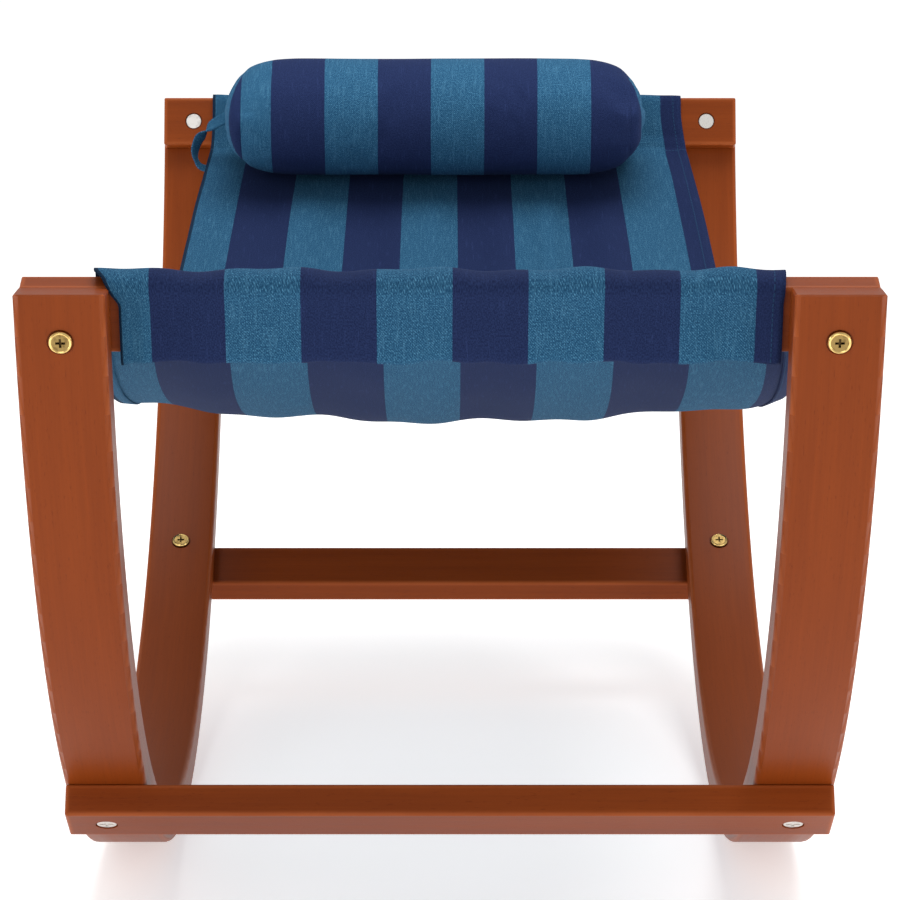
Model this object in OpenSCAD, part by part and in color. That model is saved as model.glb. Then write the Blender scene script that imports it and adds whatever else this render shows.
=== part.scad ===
// Rocking hammock lounger. Two laminated wooden arcs stand on the floor and rock on it. Two top
// rails and two stretchers join them, each held at both ends by a connector bolt, a cup washer and
// a sleeve nut. A striped sling hangs between the top rails in a sewn pocket at each end, and a
// bolster pillow lies on it at the head end, held by a strap round the sling's edge.
//
// +X is to the right of a person who looks from the foot end, +Y is towards the head, and the
// origin is on the floor under the middle.

/* [Arcs] */
// Clear distance between the two arcs
inner_gap = 520; // [440:5:640]
// Width of each arc, across the lounger
arc_w = 70; // [60:1:90]
// Thickness of each arc, along its radius
arc_t = 38; // [30:1:48]
// Radius of the rocking face
arc_r = 838; // [690:1:1010]
// Angle from the lowest point to the arc's inner edge at each end, in degrees
arc_half_angle = 74.8; // [68:0.1:80]
// Rounding of the arcs' long edges
arc_edge_r = 4.5; // [2:0.5:7]
// Bevel on the ends of the arcs
end_bevel = 1.5; // [0.5:0.5:3]

/* [Rails and stretchers] */
// Width of the rails and stretchers, along the arc
bar_w = 55; // [46:1:70]
// Thickness of the two top rails
rail_t = 22; // [20:1:30]
// Thickness of the two stretchers
stretcher_t = 28; // [24:1:34]
// Rounding of the rails' and stretchers' edges
edge_r = 2.5; // [1:0.5:4]
// How far each bar stops short of the arcs' outer sides
bar_inset = 1; // [0:0.5:4]
// Angle of the stretchers from the lowest point, in degrees
stretcher_angle = 34.15; // [28:0.05:44]

/* [Fasteners] */
// Diameter of the bolt's shank
shank_d = 6; // [5:0.5:8]
// Diameter of the bolt's countersunk head
head_d = 13.8; // [12:0.1:16]
// Outer diameter of the cup washer
cup_d = 19; // [17.5:0.1:22]
// Height of the cup washer
cup_h = 3.8; // [3:0.1:5]
// Depth of the shallow seat that the cup washer stands in
cup_seat_depth = 0.8; // [0.5:0.1:2]
// Diameter of the sleeve nut's head
nut_head_d = 17.4; // [15:0.1:20]
// Thickness of the sleeve nut's head
nut_head_t = 1.6; // [1:0.1:2.4]
// Outer diameter of the sleeve
sleeve_d = 9; // [8.4:0.1:11]
// Length of the sleeve
sleeve_len = 16; // [12:0.5:17]
// Depth of the counterbore that hides the nut's head
nut_recess = 2.4; // [1.8:0.1:4]
// Radial clearance round the shank, the sleeve and the nut's head
bolt_play = 0.95; // [0.2:0.05:1.5]
// Diameter of the wooden locating dowels
dowel_d = 8; // [6:1:10]
// Length of the wooden locating dowels
dowel_len = 30; // [20:1:34]

/* [Sling] */
// Thickness of the cloth
cloth_t = 1.6; // [0.8:0.1:3]
// Gap between the cloth and the rail inside a pocket
pocket_play = 0.4; // [0.2:0.1:2]
// Gap between a pocket and each arc
pocket_side_gap = 1; // [0.5:0.5:5]
// Sling's extra width on each side where it leaves the pockets, past the arcs' inner faces
sling_overhang = 12; // [5:1:30]
// How much wider the sling is on each side at the middle than at the pockets
sling_spread = 17; // [5:1:25]
// How far the sling's edges hang below its ends
edge_sag = 149; // [90:1:190]
// How much further the middle of the width hangs
cross_sag = 22.5; // [5:0.5:40]
// Width of the sewn side hems
hem_w = 12; // [8:1:20]

/* [Pillow] */
// Diameter of the bolster
pillow_d = 137.6; // [110:0.2:170]
// Length of the bolster over its ends
pillow_len = 475; // [380:1:500]
// Rounding of the bolster's end caps
shoulder_r = 24; // [16:1:40]
// Distance of the bolster's axis in front of the sling's rear end
pillow_setback = 85; // [80:1:140]
// How far the bolster lies to the left of the middle
pillow_shift = 17.5; // [0:0.5:20]
// Gap between the sling and the bolster's underside at the middle of the width
pillow_gap = 4; // [3.5:0.1:8]
// Thickness of the bolster's cover
cover_t = 2; // [1:0.5:4]
// Thickness of the wadding roll inside the cover
wadding_t = 5; // [3:0.5:20]
// Width of the strap
strap_w = 14; // [10:1:20]
// Thickness of the strap
strap_t = 1.6; // [1:0.1:3]
// Gap inside the strap's bend, round the sling's edge
strap_room = 8; // [6:0.5:12]

/* [Hidden] */

wood_colour = [0.55, 0.26, 0.14];
brass_colour = [0.80, 0.62, 0.30];
zinc_colour = [0.72, 0.70, 0.68];
light_blue = [0.20, 0.42, 0.54];
navy = [0.14, 0.18, 0.34];

cut = 1;                                   // how far a cutting body runs past what it cuts
arc_inner_r = arc_r - arc_t;
bolt_x = inner_gap / 2 + arc_w / 2;
bar_len = inner_gap + 2 * arc_w - 2 * bar_inset;

// A bar meets an arc on a flat seat as wide as the bar.
rail_seat_r = arc_inner_r;
stretcher_seat_r = sqrt(arc_r * arc_r - bar_w * bar_w / 4);
rail_angle = arc_half_angle - asin(bar_w / 2 / arc_inner_r);

// The arcs' ends are cut level, through the rails' upper edges.
arc_end_z = arc_r - arc_inner_r * cos(arc_half_angle);
arc_end_y = sqrt(arc_r * arc_r - pow(arc_r - arc_end_z, 2));

// Joint stack, measured down from the arc's face under the cup washer
rail_grip = arc_t + rail_t;
stretcher_grip = stretcher_seat_r - arc_inner_r + stretcher_t;
head_cone = (head_d - shank_d) / 2;        // a 90 degree countersunk head is as deep as this
head_under_lip = 0.6;                      // the head lies just under the washer's lip
head_top = cup_h - cup_seat_depth - head_under_lip;
tip_chamfer = 0.6;
thread_play = 0.05;
nut_tip_gap = 6;                           // from the bolt's tip to the nut's closed end
recess_len = 7.4;                          // cross recess in the bolt's head
recess_w = 1.9;
recess_depth = 2;
slot_len = 12;                             // cross recess in the stretchers' nuts
slot_w = 2.6;
slot_depth = 0.9;
dowel_offset = arc_w * 2 / 7;              // from the bolt, away from the middle
dowel_play = 0.1;
sleeve_play = 0.2;

// Sling: u runs from -1 at the front to 1 at the rear, v from -1 at the left to 1 at the right
sling_t = cloth_t;
pocket_skin = pocket_play + cloth_t;
end_y_local = -(bar_w / 2 + pocket_skin);
end_z_local = -(arc_inner_r - rail_t);
sling_end_y = end_y_local * cos(rail_angle) - end_z_local * sin(rail_angle);
sling_end_z = arc_r + end_y_local * sin(rail_angle) + end_z_local * cos(rail_angle);
sling_end_half_w = inner_gap / 2 + sling_overhang;
along_steps = 36;
across_steps = 10;
hem_gap = 0.02;                            // so that a hem touches the sling and doesn't cut it

function half_width(u) = sling_end_half_w + sling_spread * (1 - pow(u, 4));
function sag(v) = edge_sag + cross_sag * (1 - v * v);
function sling_z(u, v) = sling_end_z - sag(v) * (1 - u * u);
function sling_slope(u, v) = atan(2 * sag(v) * u / sling_end_y);
// Point of the sling at u, x millimetres from the middle, and lift millimetres off its middle layer
function sling_point(u, x, lift) =
    let (v = x / half_width(u), a = sling_slope(u, v))
    [x, u * sling_end_y - lift * sin(a), sling_z(u, v) + lift * cos(a)];

// Pillow
pillow_r = pillow_d / 2;
pillow_y = sling_end_y - pillow_setback;
pillow_u = pillow_y / sling_end_y;
pillow_rise = (pillow_r + sling_t / 2 + pillow_gap) / cos(sling_slope(pillow_u, 0));
pillow_z = sling_z(pillow_u, 0) + pillow_rise;
seam_half = pillow_len / 2 - shoulder_r;   // the caps are sewn on where the rounding begins

// Strap: it bends round the sling's left edge behind the pillow's axis
strap_behind = 0.77;                       // share of the bolster's radius behind its axis
strap_clear = 9.5;                         // from the sling's edge to the strap's bend
strap_y = pillow_y + pillow_r * strap_behind;
strap_u = strap_y / sling_end_y;
strap_slope = sling_slope(strap_u, -1);
strap_left = half_width(strap_u) + strap_clear + strap_t;
strap_end_x = pillow_shift + pillow_len / 2;
strap_big_r = 46;                          // outer radius of the leg that rises to the pillow
strap_top_leg = strap_left - strap_big_r - strap_end_x;   // straight run to a cap that is further in
strap_tail = 52;                           // length of the leg under the sling

// ---------------------------------------------------------------- shared shapes

// Rectangle with rounded corners, about the origin
module rounded_rect(w, h, r) {
    square([w - 2 * r, h], center = true);
    square([w, h - 2 * r], center = true);
    for (x = [-1, 1], y = [-1, 1])
        translate([x * (w / 2 - r), y * (h / 2 - r)]) circle(r, $fn = 32);
}

// Places children in a bar's own frame: -Z is out along the radius and +Y is along the arc
module at_angle(angle) {
    translate([0, 0, arc_r]) rotate([angle, 0, 0]) children();
}

// Places children at a joint's brass head, +Z out of the arc's face, for both ends of the bar
module at_joints(kind, end) {
    on_rail = kind == "rail";
    at_angle(end * (on_rail ? rail_angle : stretcher_angle))
        for (x = [-bolt_x, bolt_x])
            translate([x, 0, on_rail ? -arc_r : -arc_inner_r])
                rotate([on_rail ? 180 : 0, 0, 0]) children();
}

// Holes that a joint needs in the arc and in the bar
module joint_holes(grip, bar_t) {
    hole_fn = 48;
    translate([0, 0, -cup_seat_depth])
        cylinder(d = cup_d + 2 * bolt_play, h = cup_seat_depth + arc_t / 2, $fn = hole_fn);
    translate([0, 0, -grip - cut])
        cylinder(d = shank_d + 2 * bolt_play, h = grip + 2 * cut, $fn = hole_fn);
    translate([0, 0, -grip - cut])
        cylinder(d = sleeve_d + 2 * sleeve_play, h = bar_t + cut, $fn = hole_fn);
    translate([0, 0, -grip - cut])
        cylinder(d = nut_head_d + 2 * bolt_play, h = nut_recess + cut, $fn = hole_fn);
}

// Locating dowels, centred on the face where the arc and the bar meet
module dowel_pair(kind, end, play) {
    on_rail = kind == "rail";
    at_angle(end * (on_rail ? rail_angle : stretcher_angle))
        for (side = [-1, 1])
            translate([side * (bolt_x + dowel_offset), 0, on_rail ? -rail_seat_r : -stretcher_seat_r])
                cylinder(d = dowel_d + 2 * play, h = dowel_len + 2 * play, center = true, $fn = 48);
}

// Every hole of the joints at one bar
module bar_holes(kind, end) {
    if (kind == "rail") at_joints(kind, end) joint_holes(rail_grip, rail_t);
    else at_joints(kind, end) joint_holes(stretcher_grip, stretcher_t);
    dowel_pair(kind, end, dowel_play);
}

// ---------------------------------------------------------------- wooden frame

// One arc about x = 0, before its holes
module arc_blank() {
    over_cut = 3;                          // degrees that the ring runs past its level end cut
    difference() {
        translate([0, 0, arc_r]) rotate([90, 0, 90]) rotate([0, 0, -90 - arc_half_angle - over_cut])
            rotate_extrude(angle = 2 * (arc_half_angle + over_cut), $fn = 360)
                translate([arc_r - arc_t / 2, 0]) rounded_rect(arc_t, arc_w, arc_edge_r);
        for (end = [-1, 1]) {
            at_angle(end * rail_angle)
                translate([-arc_w / 2 - cut, -bar_w / 2, -rail_seat_r])
                    cube([arc_w + 2 * cut, bar_w, rail_t]);
            at_angle(end * stretcher_angle)
                translate([-arc_w / 2 - cut, -bar_w / 2, -stretcher_seat_r - stretcher_t])
                    cube([arc_w + 2 * cut, bar_w, stretcher_t]);
        }
        translate([-arc_w, -arc_r, arc_end_z]) cube([2 * arc_w, 2 * arc_r, arc_r]);
        end_bevels();
    }
}

// Cutters that bevel the outer edge and the side edges of the arc's two end faces
module end_bevels() {
    for (end = [-1, 1]) {
        translate([0, end * (arc_end_y - end_bevel), arc_end_z]) rotate([-45 * end, 0, 0])
            above_plane();
        for (side = [-1, 1])
            translate([side * (arc_w / 2 - end_bevel), end * arc_end_y, arc_end_z])
                rotate([0, 45 * side, 0]) above_plane();
    }
}

// Block over the plane z = 0, wider than an arc's end
module above_plane() {
    translate([-arc_w, -arc_w, 0]) cube([2 * arc_w, 2 * arc_w, arc_w]);
}

module arc(side) {
    color(wood_colour) difference() {
        translate([side * bolt_x, 0, 0]) arc_blank();
        for (end = [-1, 1]) {
            bar_holes("rail", end);
            bar_holes("stretcher", end);
        }
    }
}

// Straight bar of thickness t with every edge rounded, along X, its middle at height z
module bar_blank(t, z) {
    translate([0, 0, z]) intersection() {
        rotate([90, 0, 90]) linear_extrude(bar_len, center = true) rounded_rect(bar_w, t, edge_r);
        linear_extrude(t, center = true) rounded_rect(bar_len, bar_w, edge_r);
        rotate([90, 0, 0]) linear_extrude(bar_w, center = true) rounded_rect(bar_len, t, edge_r);
    }
}

module rail(end) {
    color(wood_colour) difference() {
        at_angle(end * rail_angle) bar_blank(rail_t, -rail_seat_r + rail_t / 2);
        bar_holes("rail", end);
    }
}

module stretcher(end) {
    color(wood_colour) difference() {
        at_angle(end * stretcher_angle) bar_blank(stretcher_t, -stretcher_seat_r - stretcher_t / 2);
        bar_holes("stretcher", end);
    }
}

module all_dowels() {
    color(wood_colour) for (kind = ["rail", "stretcher"], end = [-1, 1]) dowel_pair(kind, end, 0);
}

// ---------------------------------------------------------------- fasteners

// Connector bolt with a countersunk head and a cross recess, its face at head_top
module bolt(grip) {
    tip = -(grip - nut_recess - nut_head_t - nut_tip_gap) - nut_head_t;
    difference() {
        rotate_extrude($fn = 48)
            polygon([[0, tip], [shank_d / 2 - tip_chamfer, tip], [shank_d / 2, tip + tip_chamfer],
                [shank_d / 2, head_top - head_cone], [head_d / 2, head_top], [0, head_top]]);
        cross_recess(head_top, recess_len, recess_w, recess_depth);
    }
}

// Two crossed slots, cut down from height top
module cross_recess(top, len, width, depth) {
    for (turn = [0, 90]) rotate([0, 0, turn])
        translate([-len / 2, -width / 2, top - depth]) cube([len, width, depth + cut]);
}

// Raised ring that the bolt's head lies in, standing in its shallow seat
module cup_washer() {
    lip_r = head_d / 2 + 0.75;             // the lip stands this far outside the head
    lip_drop = 0.15;
    seat_play = 0.05;
    // Rounded outer side, as [in from the rim, down from the top]
    round_side = [[0, 2.3], [0.35, 1.2], [1, 0.3]];
    bore_r = shank_d / 2 + (-cup_seat_depth - head_top + head_cone) + seat_play;
    rim_z = cup_h - cup_seat_depth;
    rotate_extrude($fn = 64)
        polygon(concat([[bore_r, -cup_seat_depth], [cup_d / 2, -cup_seat_depth]],
            [for (p = round_side) [cup_d / 2 - p[0], rim_z - p[1]]],
            [[(lip_r + cup_d / 2 - 1) / 2, rim_z], [lip_r, rim_z - lip_drop],
                [head_d / 2 + seat_play, head_top]]));
}

// Sleeve nut: a flat round head in the bar's counterbore and a threaded sleeve round the bolt
module sleeve_nut(grip, slotted) {
    floor_z = -grip + nut_recess;
    thread_r = shank_d / 2 + thread_play;
    rim_bevel = 0.4;
    closed_end = 1;                        // metal left under the thread
    difference() {
        union() {
            translate([0, 0, floor_z]) cylinder(d = sleeve_d, h = sleeve_len, $fn = 48);
            rotate_extrude($fn = 64)
                polygon([[0, floor_z], [nut_head_d / 2, floor_z],
                    [nut_head_d / 2, floor_z - nut_head_t + rim_bevel],
                    [nut_head_d / 2 - rim_bevel, floor_z - nut_head_t], [0, floor_z - nut_head_t]]);
        }
        translate([0, 0, floor_z + closed_end]) cylinder(r = thread_r, h = sleeve_len, $fn = 48);
        if (slotted) rotate([180, 0, 0])
            cross_recess(-floor_z + nut_head_t, slot_len, slot_w, slot_depth);
    }
}

module bolt_pair(kind, end) {
    color(brass_colour) at_joints(kind, end) bolt(kind == "rail" ? rail_grip : stretcher_grip);
}

module all_cup_washers() {
    color(brass_colour) for (kind = ["rail", "stretcher"], end = [-1, 1])
        at_joints(kind, end) cup_washer();
}

module nut_group(kind) {
    on_rail = kind == "rail";
    color(zinc_colour) for (end = [-1, 1])
        at_joints(kind, end) sleeve_nut(on_rail ? rail_grip : stretcher_grip, !on_rail);
}

// ---------------------------------------------------------------- sling

// Closed strip of the sling between two lifts off its middle layer. side -1 and 1 take the strip
// along that edge, hem_w wide, and 0 takes the whole width, whose outer columns are the hems'.
module sling_strip(side, low, high, steps) {
    function strip_x(u, j) =
        let (edge = half_width(u), hem_x = edge - hem_w)
        side != 0 ? side * (side > 0 ? hem_x + hem_w * j / steps : edge - hem_w * j / steps)
            : j == 0 ? -edge : j == steps ? edge
            : hem_x * (2 * (j - 1) / (steps - 2) - 1);
    cols = steps + 1;
    layer = (along_steps + 1) * cols;
    points = [for (lift = [low, high], i = [0 : along_steps], j = [0 : steps])
        let (u = 2 * i / along_steps - 1) sling_point(u, strip_x(u, j), lift)];
    quads = [
        for (i = [0 : along_steps - 1], j = [0 : steps - 1])
            let (a = i * cols + j) [a, a + 1, a + cols + 1, a + cols],
        for (i = [0 : along_steps - 1], j = [0 : steps - 1])
            let (a = layer + i * cols + j) [a, a + cols, a + cols + 1, a + 1],
        for (i = [0 : along_steps - 1])
            let (a = i * cols) [a, a + cols, a + cols + layer, a + layer],
        for (i = [0 : along_steps - 1])
            let (a = i * cols + steps) [a, a + layer, a + layer + cols, a + cols],
        for (j = [0 : steps - 1]) [j, j + layer, j + layer + 1, j + 1],
        for (j = [0 : steps - 1])
            let (a = along_steps * cols + j) [a, a + 1, a + 1 + layer, a + layer]
    ];
    polyhedron(points, [for (q = quads) each [[q[0], q[1], q[2]], [q[0], q[2], q[3]]]]);
}

module sling_sheet() {
    color(navy) sling_strip(0, -sling_t / 2, sling_t / 2, across_steps);
}

// Hem folded under along one edge of the sling
module hem(side) {
    color(light_blue) sling_strip(side, -sling_t / 2 - hem_gap - cloth_t, -sling_t / 2 - hem_gap, 1);
}

// Cloth tube round a top rail, between the arcs
module pocket(end) {
    inner_t = rail_t + 2 * pocket_play;
    inner_w = bar_w + 2 * pocket_play;
    color(light_blue) at_angle(end * rail_angle) translate([0, 0, -rail_seat_r + rail_t / 2])
        rotate([90, 0, 90]) linear_extrude(inner_gap - 2 * pocket_side_gap, center = true)
            difference() {
                rounded_rect(inner_w + 2 * cloth_t, inner_t + 2 * cloth_t, edge_r + pocket_skin);
                rounded_rect(inner_w, inner_t, edge_r + pocket_play);
            }
}

// ---------------------------------------------------------------- pillow

// Half outline of the bolster, shrunk by inset, with round shoulders, to spin about its axis
module bolster_outline(inset) {
    half = pillow_len / 2 - inset;
    r = pillow_r - inset;
    shoulder = shoulder_r - inset;
    intersection() {
        union() {
            square([2 * (r - shoulder), 2 * half], center = true);
            square([2 * r, 2 * (half - shoulder)], center = true);
            for (side = [-1, 1])
                translate([r - shoulder, side * (half - shoulder)]) circle(shoulder, $fn = 96);
        }
        translate([0, -half]) square([r, 2 * half]);
    }
}

// Places children on the bolster's axis, with +Z along +X
module on_pillow_axis() {
    translate([-pillow_shift, pillow_y, pillow_z]) rotate([0, 90, 0]) children();
}

module bolster_skin() {
    rotate_extrude($fn = 96) difference() {
        bolster_outline(0);
        bolster_outline(cover_t);
    }
}

module bolster_body() {
    color(light_blue) on_pillow_axis() intersection() {
        bolster_skin();
        cylinder(r = pillow_d, h = 2 * seam_half, center = true);
    }
}

module bolster_cap(side) {
    color(navy) on_pillow_axis() intersection() {
        bolster_skin();
        translate([0, 0, side * (seam_half + pillow_len / 2)])
            cylinder(r = pillow_d, h = pillow_len, center = true);
    }
}

// Wadding roll, open at both ends
module bolster_filling() {
    color("white") on_pillow_axis() difference() {
        rotate_extrude($fn = 96) bolster_outline(cover_t);
        cylinder(r = pillow_r - cover_t - wadding_t, h = pillow_len, center = true, $fn = 96);
    }
}

// Strap from the pillow's left end, down round the sling's edge and under the sling. It is drawn
// across the sling, with +Y off the sling's face, and swept strap_w along the sling.
module strap() {
    small_r = strap_room + strap_t;
    color(light_blue)
        translate([0, strap_y, sling_z(strap_u, -1)]) rotate([strap_slope, 0, 0])
            rotate([90, 0, 0]) linear_extrude(strap_w, center = true) {
                quarter_ring(-strap_left + strap_big_r, strap_big_r, 1);
                if (strap_top_leg > 0)
                    translate([-strap_left + strap_big_r, strap_big_r - strap_t])
                        square([strap_top_leg, strap_t]);
                quarter_ring(-strap_left + small_r, small_r, -1);
                translate([-strap_left + small_r, -small_r]) square([strap_tail, strap_t]);
            }
}

// Quarter of a ring that bulges to the left, above (1) or below (-1) the sling's level
module quarter_ring(x, r, up) {
    intersection() {
        translate([x, 0]) difference() {
            circle(r, $fn = 96);
            circle(r - strap_t, $fn = 96);
        }
        translate([x - r, up > 0 ? 0 : -r])
            square([up > 0 ? min(r, strap_left - strap_end_x) : r, r]);
    }
}

// ---------------------------------------------------------------- nodes

module left_arc() { arc(-1); }
module right_arc() { arc(1); }
module front_rail() { rail(-1); }
module rear_rail() { rail(1); }
module front_stretcher() { stretcher(-1); }
module rear_stretcher() { stretcher(1); }
module locating_dowels() { all_dowels(); }
module cup_washers() { all_cup_washers(); }
module front_rail_bolts() { bolt_pair("rail", -1); }
module rear_rail_bolts() { bolt_pair("rail", 1); }
module front_stretcher_bolts() { bolt_pair("stretcher", -1); }
module rear_stretcher_bolts() { bolt_pair("stretcher", 1); }
module rail_sleeve_nuts() { nut_group("rail"); }
module stretcher_sleeve_nuts() { nut_group("stretcher"); }
module sling_panel() { sling_sheet(); }
module front_pocket() { pocket(-1); }
module rear_pocket() { pocket(1); }
module left_hem() { hem(-1); }
module right_hem() { hem(1); }
module pillow_cover() { bolster_body(); }
module pillow_left_cap() { bolster_cap(-1); }
module pillow_right_cap() { bolster_cap(1); }
module pillow_filling() { bolster_filling(); }
module pillow_strap() { strap(); }

left_arc();
right_arc();
front_rail();
rear_rail();
front_stretcher();
rear_stretcher();
locating_dowels();
cup_washers();
front_rail_bolts();
rear_rail_bolts();
front_stretcher_bolts();
rear_stretcher_bolts();
rail_sleeve_nuts();
stretcher_sleeve_nuts();
sling_panel();
front_pocket();
rear_pocket();
left_hem();
right_hem();
pillow_cover();
pillow_left_cap();
pillow_right_cap();
pillow_filling();
pillow_strap();
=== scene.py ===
import math

import bmesh
import bpy
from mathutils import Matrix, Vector, noise


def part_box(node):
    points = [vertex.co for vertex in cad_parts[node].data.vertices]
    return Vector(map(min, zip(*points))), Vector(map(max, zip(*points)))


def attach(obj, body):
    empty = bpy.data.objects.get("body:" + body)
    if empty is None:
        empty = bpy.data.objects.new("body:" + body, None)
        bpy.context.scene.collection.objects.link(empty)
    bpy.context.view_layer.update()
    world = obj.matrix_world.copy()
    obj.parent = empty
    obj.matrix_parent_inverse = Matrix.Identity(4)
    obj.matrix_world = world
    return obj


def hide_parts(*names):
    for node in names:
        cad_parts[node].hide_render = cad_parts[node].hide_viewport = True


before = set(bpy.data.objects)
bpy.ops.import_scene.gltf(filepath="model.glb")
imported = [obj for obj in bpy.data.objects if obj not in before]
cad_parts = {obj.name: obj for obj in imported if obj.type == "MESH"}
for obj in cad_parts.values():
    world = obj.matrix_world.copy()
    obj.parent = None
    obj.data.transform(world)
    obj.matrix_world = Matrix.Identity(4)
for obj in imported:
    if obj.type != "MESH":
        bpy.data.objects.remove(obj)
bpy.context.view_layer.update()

MM = 0.001
scene = bpy.context.scene


# ------------------------------------------------------------------ camera

SENSOR_MM, LENS_MM = 36, 153.9
CAMERA_PLACE = (0, -3.680, 1.0376)
CAMERA_PITCH = 10.43                           # degrees down from level

camera_data = bpy.data.cameras.new("camera")
camera_data.sensor_width = SENSOR_MM
camera_data.lens = LENS_MM
camera_data.clip_end = 60
camera = bpy.data.objects.new("camera", camera_data)
camera.location = CAMERA_PLACE
camera.rotation_euler = (math.radians(90 - CAMERA_PITCH), 0, 0)
scene.collection.objects.link(camera)
scene.camera = camera
scene.view_settings.view_transform = "Standard"


# ------------------------------------------------------------------ where the stand is

arc_low, arc_high = (Vector(corner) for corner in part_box("left_arc"))
ROCK_R = (arc_high.y ** 2 + arc_high.z ** 2) / (2 * arc_high.z)
BOLT_X = -(arc_low.x + arc_high.x) / 2
ARC_W = arc_high.x - arc_low.x


def bar_station(node):
    """Angle of a bar from the lowest point, and its middle's distance from the arcs' centre."""
    low, high = (Vector(corner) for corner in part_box(node))
    middle = (low + high) / 2
    return math.atan2(abs(middle.y), ROCK_R - middle.z), math.hypot(middle.y, ROCK_R - middle.z)


RAIL_ANGLE, RAIL_R = bar_station("rear_rail")
STRETCHER_ANGLE, STRETCHER_R = bar_station("rear_stretcher")
RAIL_W, RAIL_T = 55 * MM, 22 * MM
STRETCHER_T = 28 * MM
ARC_T = 38 * MM
ARC_MID_R = ROCK_R - ARC_T / 2
RAIL_IN = RAIL_R - RAIL_T / 2


def from_bar(end, up, r, angle=RAIL_ANGLE):
    """(y, z) of a point beside a bar: up along the bar's width, r from the arcs' centre."""
    y = r * math.sin(angle) + up * math.cos(angle)
    z = ROCK_R - r * math.cos(angle) + up * math.sin(angle)
    return end * y, z


# ------------------------------------------------------------------ small helpers

def smooth(x, low, high):
    t = min(1, max(0, (x - low) / (high - low)))
    return t * t * (3 - 2 * t)


def mix(a, b, t):
    return a + (b - a) * t


def bump(x, middle, width):
    return math.exp(-((x - middle) / width) ** 2)


def on_curve(a, b, c, d, t):
    """Point at t between b and c on the smooth curve through all four."""
    return 0.5 * (2 * b + (c - a) * t + (2 * a - 5 * b + 4 * c - d) * t * t
                  + (3 * b - a - 3 * c + d) * t ** 3)


def nothing_selected():
    if bpy.context.object and bpy.context.object.mode != "OBJECT":
        bpy.ops.object.mode_set(mode="OBJECT")
    bpy.ops.object.select_all(action="DESELECT")


def make_piece(name, points, faces, flat=None):
    """Mesh piece from points and faces. flat gives the cloth's own place of each point, in metres."""
    mesh = bpy.data.meshes.new(name)
    mesh.from_pydata([tuple(p) for p in points], [], faces)
    if flat is not None:
        layer = mesh.uv_layers.new(name="cloth")
        for loop in mesh.loops:
            layer.data[loop.index].uv = flat[loop.vertex_index]
    piece = bpy.data.objects.new(name, mesh)
    scene.collection.objects.link(piece)
    for polygon in mesh.polygons:
        polygon.use_smooth = True
    return piece


def apply_modifier(piece, kind, **settings):
    modifier = piece.modifiers.new(kind.lower(), kind)
    for key, value in settings.items():
        setattr(modifier, key, value)
    nothing_selected()
    bpy.context.view_layer.objects.active = piece
    piece.select_set(True)
    bpy.ops.object.modifier_apply(modifier=modifier.name)
    piece.select_set(False)


def face_outwards(piece):
    shape = bmesh.new()
    shape.from_mesh(piece.data)
    bmesh.ops.recalc_face_normals(shape, faces=shape.faces)
    shape.to_mesh(piece.data)
    shape.free()


def grid_faces(rows, cols):
    return [(i * cols + j, i * cols + j + 1, (i + 1) * cols + j + 1, (i + 1) * cols + j)
            for i in range(rows - 1) for j in range(cols - 1)]


# ------------------------------------------------------------------ shader helpers

class Bench:
    """Builds nodes in one tree: a number or a colour is set, and a socket is linked."""

    def __init__(self, tree):
        self.tree = tree

    def put(self, kind, inputs=None, **settings):
        made = self.tree.nodes.new(kind)
        for key, value in settings.items():
            setattr(made, key, value)
        for key, value in (inputs or {}).items():
            self.feed(made.inputs[key], value)
        return made

    def feed(self, socket, value):
        if isinstance(value, bpy.types.NodeSocket):
            self.tree.links.new(value, socket)
        elif value is not None:
            socket.default_value = value

    def math(self, operation, a, b=None, c=None, clamp=False):
        made = self.tree.nodes.new("ShaderNodeMath")
        made.operation = operation
        made.use_clamp = clamp
        for socket, value in zip(made.inputs, (a, b, c)):
            self.feed(socket, value)
        return made.outputs[0]

    def vector(self, operation, a, b=None):
        made = self.tree.nodes.new("ShaderNodeVectorMath")
        made.operation = operation
        self.feed(made.inputs[0], a)
        if b is not None:
            self.feed(made.inputs[1], b)
        return made.outputs["Value" if operation in ("DOT_PRODUCT", "LENGTH") else "Vector"]

    def split(self, vector):
        return self.put("ShaderNodeSeparateXYZ", {"Vector": vector}).outputs

    def join(self, x, y, z):
        return self.put("ShaderNodeCombineXYZ", {"X": x, "Y": y, "Z": z}).outputs[0]

    def stretch(self, parts, scales):
        """Vector of three parts, each multiplied by its own scale."""
        return self.join(*(self.math("MULTIPLY", part, scale) for part, scale in zip(parts, scales)))

    def step(self, value, low, high, out_low=0.0, out_high=1.0):
        return self.put("ShaderNodeMapRange", {"Value": value, "From Min": low, "From Max": high,
                                               "To Min": out_low, "To Max": out_high},
                        interpolation_type="SMOOTHSTEP").outputs[0]

    def noise(self, vector, scale, detail=3.0, roughness=0.55):
        return self.put("ShaderNodeTexNoise", {"Vector": vector, "Scale": scale, "Detail": detail,
                                               "Roughness": roughness}).outputs["Fac"]

    def blend(self, factor, a, b, kind="MIX"):
        made = self.tree.nodes.new("ShaderNodeMix")
        made.data_type = "RGBA"
        made.blend_type = kind
        self.feed(made.inputs[0], factor)
        self.feed(made.inputs[6], a)
        self.feed(made.inputs[7], b)
        return made.outputs[2]

    def use(self, group, inputs):
        made = self.tree.nodes.new("ShaderNodeGroup")
        made.node_tree = group
        for key, value in inputs.items():
            self.feed(made.inputs[key], value)
        return made.outputs


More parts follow.
